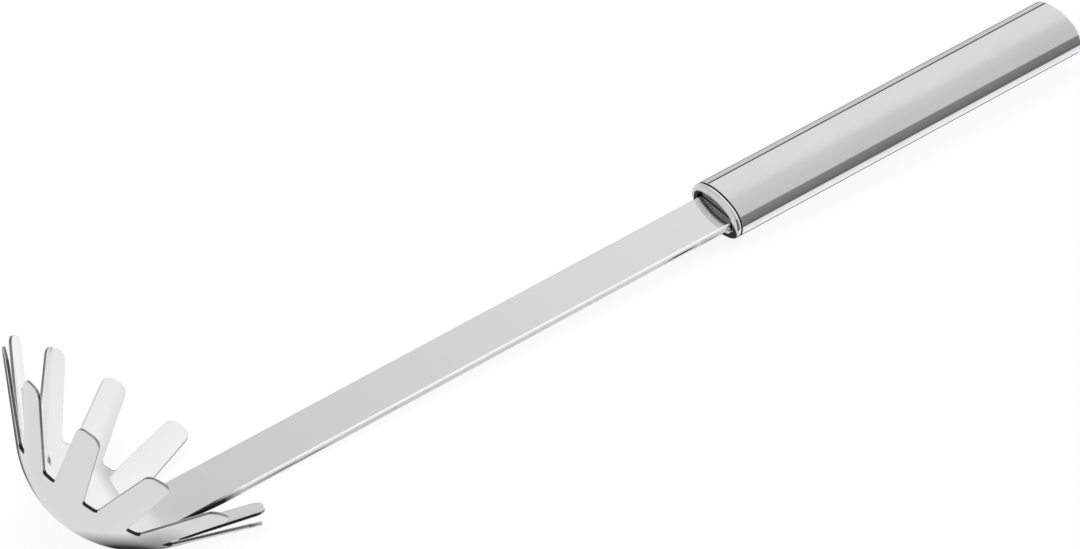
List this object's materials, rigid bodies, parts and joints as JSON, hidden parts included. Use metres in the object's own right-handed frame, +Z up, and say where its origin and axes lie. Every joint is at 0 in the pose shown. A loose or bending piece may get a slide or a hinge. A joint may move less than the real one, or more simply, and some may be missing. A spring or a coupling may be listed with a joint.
{
  "type": "pasta server",
  "caption": "Steel pasta server: a tilted dished bowl ringed with long tines, on a flat stem that ends in a closed oval handle.",
  "frame": {"origin": "centre of the footprint, on the surface that the server lies on", "axes": "+X towards the far end of the handle, +Z up out of the bowl's side, -Y towards the picture's near side"},
  "size_m": [0.329, 0.0798, 0.0606],
  "materials": {
    "pressed_steel": "polished",
    "handle_steel": "satin polished",
    "plug_steel": "satin",
    "inner_steel": "plain"
  },
  "bodies": {
    "root": {"bowl_and_stem": "pressed_steel", "handle_tube": "handle_steel", "end_cap": "handle_steel", "mouth_plug": "plug_steel", "tang_block": "inner_steel", "lock_pin": "inner_steel"}
  },
  "joints": []
}
